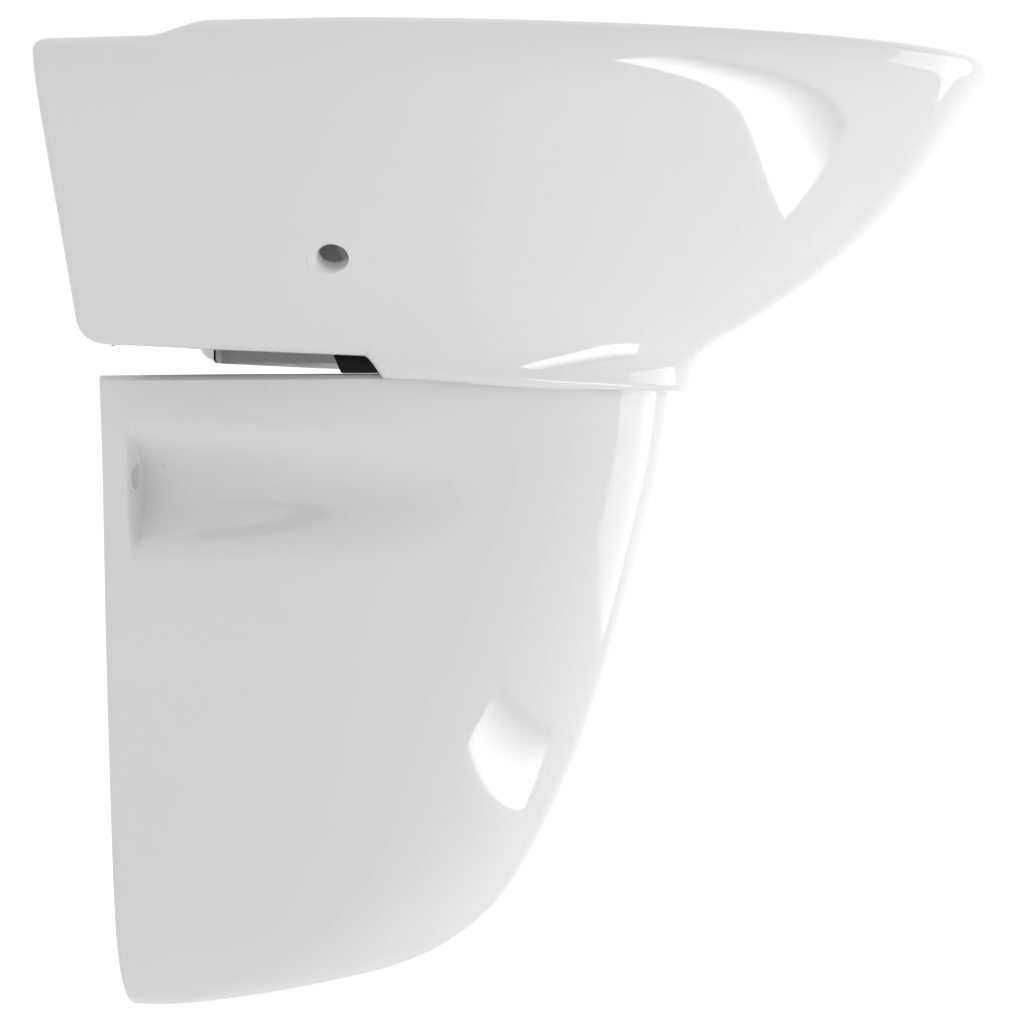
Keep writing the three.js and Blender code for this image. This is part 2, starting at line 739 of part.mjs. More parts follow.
function trapBodyGeometry() {
  const outer = lathe([
    [0, zAt(318)], [27, zAt(318)], [27, zAt(303)], [30, zAt(301)], [30, zAt(266)], [27, zAt(259)],
    [20, zAt(256)], [20, zAt(243)], [0, zAt(243)],
  ]);
  const arm = alongY(rod(19.5, 0, 52, 18)).translate(0, 52, OUTLET_Z);
  const cavity = lathe([
    [0, zAt(320)], [24.5, zAt(320)], [24.5, zAt(303)], [27.5, zAt(300)], [27.5, zAt(268)],
    [24, zAt(262)], [PIPE + GAP, zAt(259)], [PIPE + GAP, zAt(242)], [0, zAt(242)],
  ]);
  const armBore = alongY(rod(PIPE + GAP, -2, 40, 18)).translate(0, 53, OUTLET_Z);
  const armThroat = alongY(rod(PIPE_BORE, -20, 20, 18)).translate(0, 25, OUTLET_Z);
  const shell = solid(outer).add(solid(arm));
  return geometryOf(shell.subtract(solid(cavity)).subtract(solid(armBore)).subtract(solid(armThroat)));
}

// A hand-tight ring nut with grip ribs, turned about Z, with its closed lip at the top.
function ribbedNutGeometry(bore, outer, lip, low, high) {
  const profile = [
    [bore, low], [outer, low], [outer, high - 2], [outer - 2, high],
    [lip, high], [lip, high - 2.5], [bore, high - 2.5], [bore, low],
  ];
  let nut = solid(lathe(profile));
  for (let i = 0; i < 8; i += 1) {
    const rib = new THREE.BoxGeometry(2.4, 3.4, high - low - 4);
    rib.translate(outer, 0, (low + high) / 2 - 1).rotateZ((i * Math.PI) / 4);
    nut = nut.add(solid(rib));
  }
  return geometryOf(nut);
}

const bodyNutGeometry = () => ribbedNutGeometry(20.3, 25, PIPE + GAP, zAt(254), zAt(238.5));
const bodyWasherGeometry = () => ring(PIPE + GAP, 19.8, zAt(242.7), zAt(241.3));

// Pieces on the trap's outlet are turned about Z, then laid along Y towards the wall.
function towardsWall(geometry, y) {
  return geometry.rotateX(-Math.PI / 2).translate(0, y, OUTLET_Z);
}

const outletNutGeometry = () => towardsWall(ribbedNutGeometry(19.8, 24.5, PIPE + GAP, -12, 3.8), 52);
const outletWasherGeometry = () => towardsWall(ring(PIPE + GAP, 19.3, 0.3, 1.0), 52);

function outletPipeGeometry() {
  const start = 16;
  const end = WASTE.from - 0.5;
  return towardsWall(ring(PIPE_BORE, PIPE, start, end), 0);
}

function trapCupGeometry() {
  const profile = [
    [0, zAt(330)], [22, zAt(330)], [28, zAt(327)], [31.5, zAt(321)], [31.5, zAt(304)],
    [27.9, zAt(304)], [27.9, zAt(320.2)], [20, zAt(326)], [0, zAt(327)],
  ];
  let cup = solid(lathe(profile));
  for (let i = 0; i < 10; i += 1) {
    const rib = new THREE.BoxGeometry(2.4, 4, 14);
    rib.translate(31.5, 0, zAt(313)).rotateZ((i * Math.PI) / 5);
    cup = cup.add(solid(rib));
  }
  return geometryOf(cup);
}

const cupSealGeometry = () => ring(24.8, 26.9, zAt(319.8), zAt(318.3));

function wallFlangeGeometry() {
  const profile = [
    [PIPE + GAP, 0], [36, 0], [36, 1.5], [32, 6], [22, 10], [18.5, 14], [PIPE + GAP, 14], [PIPE + GAP, 0],
  ];
  return lathe(profile, 24).rotateX(Math.PI / 2).translate(0, -GAP, OUTLET_Z);
}

// ---------- basin wall fixings ----------
// Each is turned about Z and laid along -Y, out of the wall.

const fromWall = (geometry) => geometry.rotateX(Math.PI / 2);

const studGeometry = () => fromWall(rod(4.8, GAP, 58));

function sleeveGeometry() {
  const seat = BASIN.back + GAP;
  const profile = [
    [5.2, 1], [11.6, 1], [11.6, seat], [18, seat], [18, seat + 2.5], [5.2, seat + 2.5], [5.2, 1],
  ];
  return fromWall(lathe(profile));
}

const washerGeometry = () => fromWall(ring(5.2, 14, BASIN.back + 3.1, BASIN.back + 5.1));
const nutGeometry = () => fromWall(hexNutGeometry(17, 5.1, BASIN.back + 5.4, BASIN.back + 13.4));

// ---------- finishes ----------

const LOOKS = {
  glaze: { color: 0xe9e9e8, roughness: 0.08, metalness: 0 },
  rubber: { color: 0x2a2a29, roughness: 0.75, metalness: 0 },
  chrome: { color: 0xd8dadc, roughness: 0.08, metalness: 1 },
  steel: { color: 0xa9abad, roughness: 0.35, metalness: 1 },
  plastic: { color: 0xf1f1ee, roughness: 0.38, metalness: 0 },
  seal: { color: 0x34332f, roughness: 0.7, metalness: 0 },
};

function piece(name, geometry, look, position = [0, 0, 0]) {
  const mesh = new THREE.Mesh(geometry, new THREE.MeshStandardMaterial(LOOKS[look]));
  mesh.name = name;
  mesh.position.set(...position);
  return mesh;
}

// ---------- assembly ----------

const sink = new THREE.Group();
sink.add(piece('basin', basinGeometry(), 'glaze'));
sink.add(piece('semi_pedestal', pedestalGeometry(), 'glaze'));
sink.add(piece('buffer_pad_right', padGeometry(), 'rubber'));
sink.add(piece('buffer_pad_left', flipped(padGeometry().scale(-1, 1, 1)), 'rubber'));
const overflowMouth = [0, -OVERFLOW.wallAt, zAt(OVERFLOW.depth)];
sink.add(piece('overflow_ring', overflowRingGeometry(), 'chrome', overflowMouth));

const waste = new THREE.Group();
waste.position.set(0, -WASTE.from, 0);
waste.add(piece('waste_flange_seal', wasteSealGeometry(), 'seal'));
waste.add(piece('waste_body', wasteBodyGeometry(), 'chrome'));
waste.add(piece('waste_cone_seal', coneSealGeometry(), 'seal'));
waste.add(piece('waste_slip_washer', slipWasherGeometry(), 'plastic'));
waste.add(piece('waste_back_nut', backNutGeometry(), 'chrome'));
waste.add(piece('click_cartridge', cartridgeGeometry(), 'plastic'));
waste.add(piece('plug_stem', plugStemGeometry(), 'steel'));
waste.add(piece('plug_cap', plugCapGeometry(), 'chrome'));
waste.add(piece('plug_seal', plugSealGeometry(), 'seal'));

waste.add(piece('trap_inlet_nut', inletNutGeometry(), 'plastic'));
waste.add(piece('trap_inlet_washer', inletWasherGeometry(), 'seal'));
waste.add(piece('trap_inlet_pipe', inletPipeGeometry(), 'plastic'));
waste.add(piece('trap_body_nut', bodyNutGeometry(), 'plastic'));
waste.add(piece('trap_body_washer', bodyWasherGeometry(), 'seal'));
waste.add(piece('trap_body', trapBodyGeometry(), 'plastic'));
waste.add(piece('trap_cup_seal', cupSealGeometry(), 'seal'));
waste.add(piece('trap_cup', trapCupGeometry(), 'plastic'));
waste.add(piece('trap_outlet_nut', outletNutGeometry(), 'plastic'));
waste.add(piece('trap_outlet_washer', outletWasherGeometry(), 'seal'));
waste.add(piece('trap_outlet_pipe', outletPipeGeometry(), 'plastic'));
sink.add(waste);
sink.add(piece('wall_flange', wallFlangeGeometry(), 'chrome'));

for (const [side, x] of [['right', BOLT.half], ['left', -BOLT.half]]) {
  sink.add(piece(`wall_stud_${side}`, studGeometry(), 'steel', [x, 0, 0]));
  sink.add(piece(`wall_sleeve_${side}`, sleeveGeometry(), 'plastic', [x, 0, 0]));
  sink.add(piece(`wall_washer_${side}`, washerGeometry(), 'steel', [x, 0, 0]));
  sink.add(piece(`wall_nut_${side}`, nutGeometry(), 'steel', [x, 0, 0]));
}

export default sink;
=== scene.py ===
# A wall-hung wash basin in white vitreous china on a semi-pedestal, with its pop-up waste,
# bottle trap and wall fixings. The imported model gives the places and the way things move;
# this script gives the china and the buffers their fine surfaces, and every piece its material
# and the light it stands in.

import json
import math

import bmesh
import bpy
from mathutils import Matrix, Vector


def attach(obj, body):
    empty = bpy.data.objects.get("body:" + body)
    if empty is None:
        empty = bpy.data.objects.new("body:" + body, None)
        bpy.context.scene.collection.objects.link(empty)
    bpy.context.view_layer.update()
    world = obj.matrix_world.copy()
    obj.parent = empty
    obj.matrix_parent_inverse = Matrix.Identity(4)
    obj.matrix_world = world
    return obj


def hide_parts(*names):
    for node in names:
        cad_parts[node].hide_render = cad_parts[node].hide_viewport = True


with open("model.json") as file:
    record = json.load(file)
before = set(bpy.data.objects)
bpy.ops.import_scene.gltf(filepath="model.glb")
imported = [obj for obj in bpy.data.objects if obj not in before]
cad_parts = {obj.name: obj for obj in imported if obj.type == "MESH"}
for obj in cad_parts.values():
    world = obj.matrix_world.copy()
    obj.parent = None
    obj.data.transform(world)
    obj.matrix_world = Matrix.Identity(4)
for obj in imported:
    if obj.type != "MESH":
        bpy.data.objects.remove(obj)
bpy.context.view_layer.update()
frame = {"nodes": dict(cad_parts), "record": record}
record = frame["record"]
nodes = frame["nodes"]


# ---------------------------------------------------------------- basin
# One casting of vitreous china, glazed all over: a D-shaped bowl
# with a tap ledge behind it, an apron that hides the plumbing, and a collar under the bowl that
# the pedestal's top edge stands in. Each section runs once round the china and is lofted round
# the plan outline; the holes are cut afterwards, with softly flared mouths as glaze leaves them.
# Depths are millimetres below the bowl's rim, distances are millimetres out from the wall.

RIM_ABOVE_BOLTS = 85.0
WALL_HALF = 250.0
MAX_HALF = 260.0
BASIN_REACH = 450.0
RIM_RADIUS = 6.0
APRON_WALL = 11.0
BACK_WALL = 12.0
LEDGE_DROP = 6.5
APRON_DEPTH = 150.0
WASTE_FROM = 195.0
LEDGE_THICK = 13.0
TAP_FROM = 62.0
WASTE_RADIUS = 23.5
BOSS_RADIUS = 37.0
FLOOR_RADIUS = 80.0  # the bowl's sections are circles near the waste, on this measure
BOWL = {
    "centre": 215.0, "half": 201.0, "front": 201.0, "rear": 90.0,
    "depth": 130.0, "power": 2.05, "skin": 12.0,
}
COLLAR = {
    "half": 130.0, "widest": 130.0, "reach": 293.0, "starts": 146.0, "depth": 171.5, "land": 154.0,
    "turn": 4.0,  # how far either side of its start the apron's edge drops to it
}
ARCH = {"half": 121.0, "soft": 9.0, "rise": 27.0}  # cut out of the back plate for the pipes
SIDE_LEAN = {"from": 19.8, "slope": 0.7513, "soft": 6.0}  # the sides fall inwards below the rim
SWELL_DEPTH = 155.0  # the sides stop swelling out at this depth
LIP_THICK = 11.5
LAND_WIDE = 26.0
EDGE_ROUND = 4.5


def smoothstep(lo, hi, v):
    k = min(1.0, max(0.0, (v - lo) / (hi - lo)))
    return k * k * (3 - 2 * k)


def smooth_max(a, b, width):
    h = max(width - abs(a - b), 0.0) / width
    return max(a, b) + h * h * width / 4


def bisect(f, lo, hi, steps=34):
    for _ in range(steps):
        mid = (lo + hi) / 2
        if f(mid) > 0:
            lo = mid
        else:
            hi = mid
    return (lo + hi) / 2


def outline_point(o, kind, u):
    """A point of a plan outline: flat back, rounded corner, swelling side, curved front."""
    r = o.get("corner", 5.0)
    if kind == "back":
        return (o["wall_half"] - r) * u, o["back"]
    if kind == "corner":
        a = u * math.pi / 2
        return o["wall_half"] - r + r * math.sin(a), o["back"] + r - r * math.cos(a)
    if kind == "side":
        start = o["back"] + r
        swell = math.sin(u * math.pi / 2)
        return o["wall_half"] + (o["max_half"] - o["wall_half"]) * swell, start + (o["widest"] - start) * u
    s = math.sin(u) ** (2 / o["power"])
    return o["max_half"] * math.cos(u), o["widest"] + (o["reach"] - o["widest"]) * s


def basin_outline(d, inset, back):
    """The outside of the china at depth d: its sides lean in, and its front leans back below."""
    soft = SIDE_LEAN["soft"]
    wall = WALL_HALF - SIDE_LEAN["slope"] * soft * math.log(1 + math.exp((d - SIDE_LEAN["from"]) / soft))
    swell = (MAX_HALF - WALL_HALF) * max(0.0, 1 - d / SWELL_DEPTH)
    undercut = 0.0 if d < 10 else 0.66 * (d - 10) + 1.3e-5 * (d - 10) ** 3.1
    return {
        "wall_half": wall - inset, "max_half": wall + swell - inset, "widest": 145 - 85 * d / SWELL_DEPTH,
        "reach": BASIN_REACH - undercut - inset, "back": back, "power": 1.5,
    }


def collar_radius(dx, dy, inset):
    """From the waste's axis to the collar, which matches the pedestal's top edge in plan."""
    half = COLLAR["half"] - inset

    def inside(r):
        x = abs(dx * r)
        y = WASTE_FROM + dy * r
        if y <= COLLAR["widest"]:
            return half - x
        k = (y - COLLAR["widest"]) / (COLLAR["reach"] - inset - COLLAR["widest"])
        return 1 - (x / half) ** 2 - k ** 1.9

    return bisect(inside, 0, 400)


def bowl_radius(dx, dy):
    def inside(r):
        x = abs(dx * r) / BOWL["half"]
        y = WASTE_FROM + dy * r - BOWL["centre"]
        if y > 0:
            return 1 - x ** 2 - (y / BOWL["front"]) ** 1.45
        return 1 - x ** 2.5 - (-y / BOWL["rear"]) ** 2.5

    return bisect(inside, 0, 400)


def bowl_section(edge, rho):
    """Radius at share rho of the way up the bowl: round at the waste, D-shaped at the rim."""
    circle = 1 - smoothstep(0.3, 0.8, rho)
    return rho * ((1 - circle) * edge + circle * FLOOR_RADIUS)


def bowl_depth(depth, rho):
    return depth * max(0.0, 1 - rho ** BOWL["power"]) ** (1 / BOWL["power"])


def deck_drop(x, y):
    """The tap ledge lies a little lower than the rim; the step bows back at the sides."""
    step = 100 - 29 * (x / WALL_HALF) ** 2
    return LEDGE_DROP * (1 - smoothstep(step - 15, step + 15, y))


def collar_share(y):
    return smoothstep(COLLAR["starts"] - COLLAR["turn"], COLLAR["starts"] + COLLAR["turn"], y)


def lower_edge(x, y):
    """Depth of the lower edge: back plate with its arch, then apron, then collar."""
    apron = APRON_DEPTH + 6 * min(y, COLLAR["starts"]) / COLLAR["starts"]
    collar = COLLAR["depth"] - 4.5 * (1 - smoothstep(150, 240, y))
    open_to = smoothstep(ARCH["half"] - ARCH["soft"], ARCH["half"] + ARCH["soft"], x)
    arch = ARCH["rise"] * (1 - open_to) if y < 1 else 0
    return apron - arch + (collar - apron) * collar_share(y)


def outer_point(kind, u, d, inset, back):
    """The outer skin; low down, its front swells out into the collar."""
    level = min(d, APRON_DEPTH)
    x, y = outline_point(basin_outline(level, inset, back), kind, u)
    if kind != "front" or d < 60:
        return x, y
    length = math.hypot(x, y - WASTE_FROM)
    dx, dy = x / length, (y - WASTE_FROM) / length
    r = length - 1.5 * (d - level)
    blended = smooth_max(r, collar_radius(dx, dy, inset), 20 + 26 * dx * dx)
    here = r + (blended - r) * smoothstep(60, 90, d)
    return dx * here, WASTE_FROM + dy * here


def basin_section(kind, u):
    section = []
    put = lambda x, y, d: section.append((x / 1000, -y / 1000, (RIM_ABOVE_BOLTS - d) / 1000))
    rim = outline_point(basin_outline(RIM_RADIUS, 0, 0), kind, u)
    length = math.hypot(rim[0], rim[1] - WASTE_FROM)
    dx, dy = rim[0] / length, (rim[1] - WASTE_FROM) / length
    edge = bowl_radius(dx, dy)
    along = lambda r, d: put(dx * r, WASTE_FROM + dy * r, d)

    rho_waste = WASTE_RADIUS / FLOOR_RADIUS
    rho_roll = 0.985
    last = math.asin((rho_roll - rho_waste) / (1 - rho_waste))
    for i in range(36):
        rho = rho_waste + (1 - rho_waste) * math.sin(last * i / 35)
        along(bowl_section(edge, rho), bowl_depth(BOWL["depth"], rho))
    start = Vector((rho_roll * edge, bowl_depth(BOWL["depth"], rho_roll)))
    steep = 765.0 / edge
    rise = Vector((1, -steep)).normalized()
    end_r = edge + 10
    end = Vector((end_r, deck_drop(dx * end_r, WASTE_FROM + dy * end_r)))
    c1 = start + 12 * rise
    c2 = end - Vector((7, 0))
    for i in range(1, 12):
        t = i / 12
        p = (1 - t) ** 3 * start + 3 * (1 - t) ** 2 * t * c1 + 3 * (1 - t) * t * t * c2 + t ** 3 * end
        along(p.x, p.y)

    lip_drop = deck_drop(*rim)
    foot = outer_point(kind, u, APRON_DEPTH, 0, 0)
    lowest = lower_edge(*foot)

    def back_inset(d):
        over = min(12.0, max(0.0, d - (lowest - 12)))
        return 12 - math.sqrt(max(0.0, 144 - over * over))

    def skin(d, inset):
        x, y = outer_point(kind, u, d, inset, max(inset, back_inset(d)))
        put(x, y, d)

    ax, ay = dx * end_r, WASTE_FROM + dy * end_r
    bx, by = outer_point(kind, u, lip_drop, RIM_RADIUS, RIM_RADIUS)
    for i in range(19):
        x, y = ax + (bx - ax) * i / 18, ay + (by - ay) * i / 18
        put(x, y, deck_drop(x, y) + (lip_drop - deck_drop(bx, by)) * i / 18)
    for i in range(1, 9):
        a = i / 8 * math.pi / 2
        skin(lip_drop + RIM_RADIUS * (1 - math.cos(a)), RIM_RADIUS * (1 - math.sin(a)))
    side_top = lip_drop + RIM_RADIUS
    side_low = lowest - EDGE_ROUND
    for i in range(1, 47):
        skin(side_top + (side_low - side_top) * i / 46, 0)
    for i in range(1, 8):
        a = i / 7 * math.pi / 2
        skin(side_low + EDGE_ROUND * math.sin(a), EDGE_ROUND * (1 - math.cos(a)))

    in_collar = collar_share(foot[1])

    def inner_wall(d, inset):
        x, y = outline_point(basin_outline(min(d, APRON_DEPTH), APRON_WALL, BACK_WALL), kind, u)
        r = math.hypot(x, y - WASTE_FROM)
        ux, uy = x / r, (y - WASTE_FROM) / r
        if kind == "front":
            apron = min(r, collar_radius(ux, uy, 0) + (COLLAR["depth"] - d) * 2)
            land = min(r, collar_radius(ux, uy, inset))
            r = apron + (land - apron) * in_collar
        return r, ux, uy

    def put_wall(d, inset):
        r, ux, uy = inner_wall(d, inset)
        put(ux * r, WASTE_FROM + uy * r, d)

    land = COLLAR["land"] + (lowest - 6 - COLLAR["land"]) * (1 - in_collar)
    put_wall(lowest, LIP_THICK - 2)
    put_wall(lowest - 0.6, LIP_THICK - 0.6)
    put_wall(lowest - 2, LIP_THICK)
    for i in range(1, 5):
        put_wall(lowest - 2 + (land - lowest + 2) * i / 4, LIP_THICK)
    put_wall(land, (LIP_THICK + LAND_WIDE) / 2)
    put_wall(land, LAND_WIDE)

    def roof(d):
        r, ux, uy = inner_wall(d, LAND_WIDE)
        under = bowl_radius(ux, uy) + BOWL["skin"]
        rho = bisect(lambda k: r - bowl_section(under, k), 0, 1.6, 24)
        return max(bowl_depth(BOWL["depth"] + BOWL["skin"], rho), LEDGE_DROP + LEDGE_THICK) - d

    below = land
    while below > 8 and roof(below - 3) < 0:
        below -= 3
    meets = bisect(roof, below - 3, below, 20)
    for i in range(1, 11):
        put_wall(land + (meets - land) * i / 10, LAND_WIDE)
    r, ux, uy = inner_wall(meets, LAND_WIDE)
    under = bowl_radius(ux, uy) + BOWL["skin"]
    shelf = min(r - 1, under)
    rho_shelf = min(1.0, bisect(lambda k: shelf - bowl_section(under, k), 0, 1.6))
    rho_boss = BOSS_RADIUS / FLOOR_RADIUS
    for i in range(1, 27):
        rho = rho_boss + (rho_shelf - rho_boss) * math.cos(i / 26 * math.pi / 2)
        r = bowl_section(under, rho)
        d = max(bowl_depth(BOWL["depth"] + BOWL["skin"], rho), LEDGE_DROP + LEDGE_THICK)
        put(ux * r, WASTE_FROM + uy * r, d)
    for r, d in ((36, 144.5), (34.5, 146), (29, 146), (WASTE_RADIUS, 146)):
        put(ux * r, WASTE_FROM + uy * r, d)
    return section


def half_stations():
    """Where the sections stand, from the middle of the back to the tip; closest at the collar's end."""
    stations = [("back", i / 22) for i in range(1, 23)]
    stations += [("corner", i / 8) for i in range(1, 9)]
    stations += [("side", i / 30) for i in range(1, 31)]
    degrees = [i * 1.0 for i in range(1, 25)]
    degrees += [25.0 + i * 0.14 for i in range(33)]
    degrees += [29.8 + i * 60.2 / 66 for i in range(67)]
    stations += [("front", math.radians(a)) for a in degrees]
    return stations


def mesh_piece(name, vertices, faces, crease=38):
    mesh = bpy.data.meshes.new(name)
    mesh.from_pydata(vertices, [], faces)
    mesh.validate()
    mesh.shade_smooth()
    mesh.set_sharp_from_angle(angle=math.radians(crease))
    piece = bpy.data.objects.new(name, mesh)
    bpy.context.collection.objects.link(piece)
    return piece


def ring_loft(sections):
    count = len(sections[0])
    faces = []
    for i in range(len(sections)):
        n = (i + 1) % len(sections)
        for j in range(count):
            up = (j + 1) % count
            faces.append((i * count + j, n * count + j, n * count + up, i * count + up))
    return [p for section in sections for p in section], faces


def lathe(profile, segments, axis_x=0.0, axis_y=0.0):
    """A profile of (radius, height) pairs in millimetres turned about Z; a zero radius is a pole."""
    vertices, rows, faces = [], [], []
    for radius, z in profile:
        if radius == 0:
            rows.append([len(vertices)] * segments)
            vertices.append((axis_x, axis_y, z / 1000))
            continue
        rows.append(list(range(len(vertices), len(vertices) + segments)))
        for k in range(segments):
            a = 2 * math.pi * k / segments
            r = radius / 1000
            vertices.append((axis_x + r * math.cos(a), axis_y + r * math.sin(a), z / 1000))
    closed = profile[0][0] != 0
    for i in range(len(rows) if closed else len(rows) - 1):
        low, high = rows[i], rows[(i + 1) % len(rows)]
        for k in range(segments):
            n = (k + 1) % segments
            corners = [low[k], low[n], high[n], high[k]]
            face = [c for m, c in enumerate(corners) if c not in corners[:m]]
            if len(face) > 2:
                faces.append(tuple(face))
    return vertices, faces


def placed(shape, turn_x=0.0, turn_y=0.0, at=(0, 0, 0)):
    """Turns a shape about X, then about Y, then moves it; angles in degrees, distances in metres."""
    vertices, faces = shape
    cx, sx = math.cos(math.radians(turn_x)), math.sin(math.radians(turn_x))
    cy, sy = math.cos(math.radians(turn_y)), math.sin(math.radians(turn_y))
    out = []
    for x, y, z in vertices:
        y, z = y * cx - z * sx, y * sx + z * cx
        x, z = x * cy + z * sy, -x * sy + z * cy
        out.append((x + at[0], y + at[1], z + at[2]))
    return out, faces


def joined(shapes):
    vertices, faces = [], []
    for shape_vertices, shape_faces in shapes:
        shift = len(vertices)
        vertices += shape_vertices
        faces += [tuple(i + shift for i in face) for face in shape_faces]
    return vertices, faces


def apply_boolean(piece, shapes, operation):
    tool = mesh_piece("boolean_tool", *joined(shapes))
    modifier = piece.modifiers.new("cut", "BOOLEAN")
    modifier.operation = operation
    modifier.solver = "EXACT"
    modifier.object = tool
    depsgraph = bpy.context.evaluated_depsgraph_get()
    cut = bpy.data.meshes.new_from_object(piece.evaluated_get(depsgraph))
    piece.modifiers.remove(modifier)
    old = piece.data
    piece.data = cut
    cut.name = piece.name
    bpy.data.meshes.remove(old)
    bpy.data.objects.remove(tool)


def sharpen(piece, degrees):
    piece.data.shade_smooth()
    piece.data.set_sharp_from_angle(angle=math.radians(degrees))


def drop(d):
    return RIM_ABOVE_BOLTS - d


def duct(half, width, start, end):
    """The overflow passage behind the bowl, from the overflow hole down to the waste hole."""
    knots = [(109, 45 - start), (112, 80), (124, 107), (146, 129), (170 + end, 138)]
    path = []
    for i in range(len(knots) - 1):
        p1, p2 = Vector(knots[i]), Vector(knots[i + 1])
        p0 = Vector(knots[i - 1]) if i else p1 * 2 - p2
        p3 = Vector(knots[i + 2]) if i + 2 < len(knots) else p2 * 2 - p1
        for k in range(8):
            t = k / 8
            path.append(0.5 * (2 * p1 + (p2 - p0) * t + (2 * p0 - 5 * p1 + 4 * p2 - p3) * t * t
                               + (3 * p1 - p0 - 3 * p2 + p3) * t ** 3))
    path.append(Vector(knots[-1]))
    vertices, faces = [], []
    for i, p in enumerate(path):
        t = (path[min(i + 1, len(path) - 1)] - path[max(i - 1, 0)]).normalized()
        for side in (1, -1):
            q = p + Vector((t.y, -t.x)) * half * side
            for x in (-width / 2, width / 2):
                vertices.append((x / 1000, -q.x / 1000, drop(q.y) / 1000))
    for i in range(len(path) - 1):
        a, b = 4 * i, 4 * i + 4
        faces += [(a, a + 1, b + 1, b), (a + 1, a + 3, b + 3, b + 1)]
        faces += [(a + 3, a + 2, b + 2, b + 3), (a + 2, a, b, b + 2)]
    e = 4 * (len(path) - 1)
    faces += [(0, 2, 3, 1), (e, e + 1, e + 3, e + 2)]
    return vertices, faces


def outwards(piece):
    work = bmesh.new()
    work.from_mesh(piece.data)
    bmesh.ops.recalc_face_normals(work, faces=work.faces)
    work.to_mesh(piece.data)
    work.free()


def basin_piece():
    half = [basin_section(kind, u) for kind, u in half_stations()[:-1]]
    rear = basin_section("back", 0.0)
    front = basin_section("front", math.pi / 2)
    mirror = [[(-x, y, z) for x, y, z in section] for section in reversed(half)]
    piece = mesh_piece("china_basin", *ring_loft([rear] + half + [front] + mirror))
    outwards(piece)
    apply_boolean(piece, [duct(7.6, 50, 6, -4)], "UNION")
    waste_y = -WASTE_FROM / 1000
    well = [(0, drop(129)), (31, drop(129)), (33, drop(127.5)), (33, drop(123)), (33.6, drop(120.5)),
            (35.2, drop(118.2)), (38, drop(115.2)), (44, drop(108)), (44, drop(104)), (0, drop(104))]
    bore = [(0, drop(150)), (WASTE_RADIUS, drop(150)), (WASTE_RADIUS, drop(128)), (0, drop(128))]
    tap = [(0, 30), (17.5, 30), (17.5, drop(8.5)), (17.9, drop(7.5)), (18.8, drop(6.75)),
           (20.4, drop(6.45)), (20.4, drop(-8)), (0, drop(-8))]
    hole = [(0, -30), (7.5, -30), (7.5, -3.4), (8.0, -1.9), (9.1, -0.6),
            (10.6, 0.25), (12.5, 0.8), (12.5, 12), (0, 12)]
    hole_lean = 38
    cuts = [lathe(well, 96, 0, waste_y), lathe(bore, 64, 0, waste_y)]
    cuts.append(lathe(tap, 72, 0, -TAP_FROM / 1000))
    overflow = lathe([(0, 0), (12, 0), (12, 30), (0, 30)], 48)
    cuts.append(placed(overflow, 90, 0, (0, -0.109, drop(45) / 1000)))
    for side in (-1, 1):
        bolt = lathe([(0, -2), (12.6, -2), (12, 1), (12, 26), (0, 26)], 40)
        cuts.append(placed(bolt, 90, 0, (side * 0.140, 0, 0)))
        at = (side * 0.1782, -0.134, drop(110.5) / 1000)
        cuts.append(placed(lathe(hole, 48), 0, side * (90 + hole_lean), at))
    apply_boolean(piece, cuts, "DIFFERENCE")
    apply_boolean(piece, [duct(4, 34, -4, 6)], "DIFFERENCE")
    outwards(piece)
    sharpen(piece, 34)
    return piece


# The glaze: a clear glass skin over white slip. It mirrors the room sharply, is a touch warmer
# in slow patches, and is never quite flat: a slow waviness bends the reflections and the
# finest texture of the spray dulls them a little.
def glaze_surface():
    group = bpy.data.node_groups.new("glaze_surface", "ShaderNodeTree")
    for name, kind, side in (
        ("Coordinates", "NodeSocketVector", "INPUT"), ("Waviness", "NodeSocketFloat", "INPUT"),
        ("Color", "NodeSocketColor", "OUTPUT"), ("Roughness", "NodeSocketFloat", "OUTPUT"),
        ("Normal", "NodeSocketVector", "OUTPUT"),
    ):
        group.interface.new_socket(name=name, in_out=side, socket_type=kind)
    tree = group.nodes
    link = group.links.new
    come = tree.new("NodeGroupInput")
    go = tree.new("NodeGroupOutput")
    cloud = tree.new("ShaderNodeTexNoise")
    cloud.inputs["Scale"].default_value = 6.0
    cloud.inputs["Detail"].default_value = 2.0
    tint = tree.new("ShaderNodeMix")
    tint.data_type = "RGBA"
    tint.inputs["A"].default_value = (0.775, 0.778, 0.778, 1)
    tint.inputs["B"].default_value = (0.800, 0.800, 0.796, 1)
    fine = tree.new("ShaderNodeTexNoise")
    fine.inputs["Scale"].default_value = 260.0
    fine.inputs["Detail"].default_value = 3.0
    dull = tree.new("ShaderNodeMapRange")
    dull.inputs["To Min"].default_value = 0.045
    dull.inputs["To Max"].default_value = 0.11
    swell = tree.new("ShaderNodeTexNoise")
    swell.inputs["Scale"].default_value = 16.0
    swell.inputs["Detail"].default_value = 1.0
    bump = tree.new("ShaderNodeBump")
    bump.inputs["Distance"].default_value = 0.00035
    for noise in (cloud, fine, swell):
        link(come.outputs["Coordinates"], noise.inputs["Vector"])
    link(cloud.outputs["Fac"], tint.inputs["Factor"])
    link(tint.outputs["Result"], go.inputs["Color"])
    link(fine.outputs["Fac"], dull.inputs["Value"])
    link(dull.outputs["Result"], go.inputs["Roughness"])
    link(swell.outputs["Fac"], bump.inputs["Height"])
    link(come.outputs["Waviness"], bump.inputs["Strength"])
    link(bump.outputs["Normal"], go.inputs["Normal"])
    return group


GLAZE_GROUP = glaze_surface()


